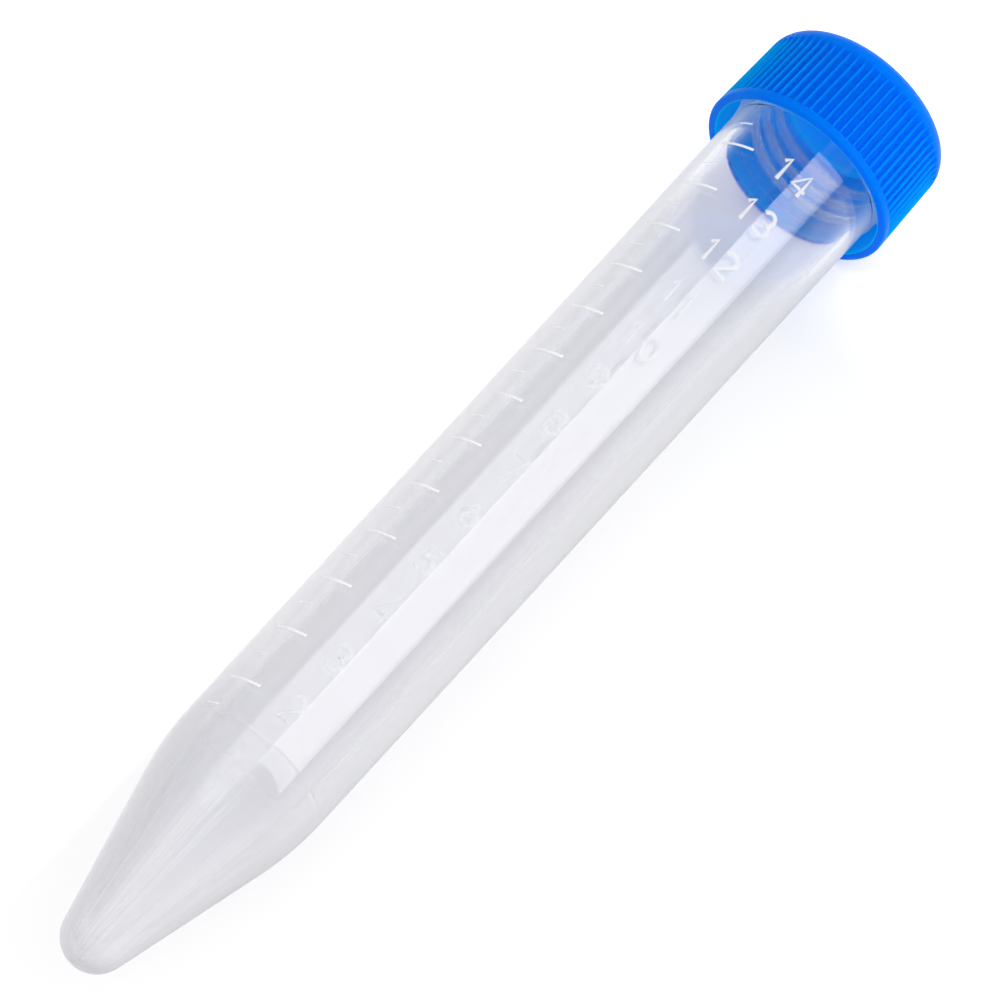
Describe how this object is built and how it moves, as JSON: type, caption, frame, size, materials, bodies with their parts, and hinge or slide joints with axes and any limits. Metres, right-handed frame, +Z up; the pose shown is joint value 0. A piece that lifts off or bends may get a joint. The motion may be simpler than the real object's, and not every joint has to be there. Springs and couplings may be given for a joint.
{
  "type": "15 ml conical tube",
  "caption": "Clear polypropylene lab tube with a conical bottom, raised graduations and a ribbed blue screw cap.",
  "frame": {"origin": "centre of the bounding box's bottom, on the surface the tube lies on", "axes": "+X from the conical tip towards the cap, +Z up; the tube's own axis climbs 1.8 degrees towards the cap"},
  "size_m": [0.1202, 0.0212, 0.0212],
  "materials": {
    "clear_polypropylene": "clear, slightly hazy injection-moulded polypropylene",
    "blue_polypropylene": "opaque blue injection-moulded polypropylene with a satin sheen"
  },
  "bodies": {
    "tube_body": {"tube": "clear_polypropylene"},
    "cap_body": {"screw_cap": "blue_polypropylene"}
  },
  "joints": [
    {"name": "cap_lift", "type": "slide", "parent": "tube_body", "child": "cap_body", "axis": [0.9995, 0, 0.0313], "range_m": [0, 0.03]}
  ]
}
